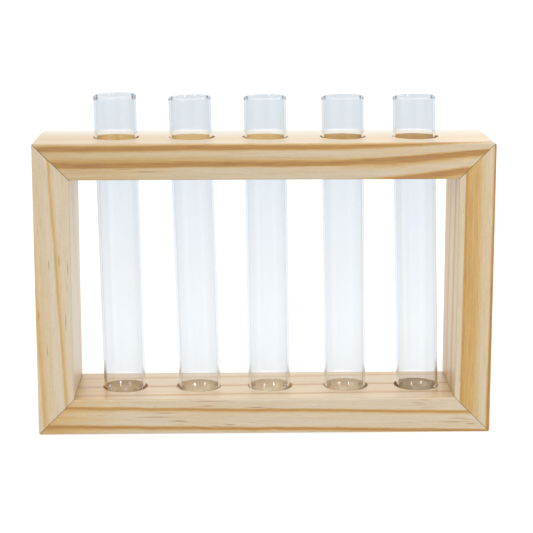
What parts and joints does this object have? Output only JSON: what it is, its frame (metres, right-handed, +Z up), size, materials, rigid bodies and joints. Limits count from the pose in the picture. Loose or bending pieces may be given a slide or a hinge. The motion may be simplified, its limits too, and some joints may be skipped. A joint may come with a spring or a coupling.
{
  "type": "test tube stand with test tubes",
  "caption": "Free-standing mitred pine frame with a row of clear round-bottom glass test tubes, each lifting out of its own hole.",
  "frame": {"origin": "middle of the frame's underside, where it stands on the table", "axes": "+X to the right along the row of tubes, +Y to the back, +Z up"},
  "size_m": [0.2134, 0.046, 0.1588],
  "materials": {
    "pine": "planed and sanded pine, unfinished",
    "dowel": "plain turned beech",
    "glass": "clear, fire-polished rim"
  },
  "bodies": {
    "frame": {"top_rail": "pine", "bottom_rail": "pine", "left_stile": "pine", "right_stile": "pine", "mitre_dowels": "dowel"},
    "test_tube_1": {"test_tube_1": "glass"},
    "test_tube_2": {"test_tube_2": "glass"},
    "test_tube_3": {"test_tube_3": "glass"},
    "test_tube_4": {"test_tube_4": "glass"},
    "test_tube_5": {"test_tube_5": "glass"}
  },
  "joints": [
    {"name": "test_tube_1_lift", "type": "slide", "parent": "frame", "child": "test_tube_1", "axis": [-0.019, 0, 0.9998], "range_m": [0, 0.155]},
    {"name": "test_tube_2_lift", "type": "slide", "parent": "frame", "child": "test_tube_2", "axis": [-0.0276, 0, 0.9996], "range_m": [0, 0.155]},
    {"name": "test_tube_3_lift", "type": "slide", "parent": "frame", "child": "test_tube_3", "axis": [-0.0151, 0, 0.9999], "range_m": [0, 0.155]},
    {"name": "test_tube_4_lift", "type": "slide", "parent": "frame", "child": "test_tube_4", "axis": [-0.0164, 0, 0.9999], "range_m": [0, 0.155]},
    {"name": "test_tube_5_lift", "type": "slide", "parent": "frame", "child": "test_tube_5", "axis": [-0.0276, 0, 0.9996], "range_m": [0, 0.155]}
  ]
}
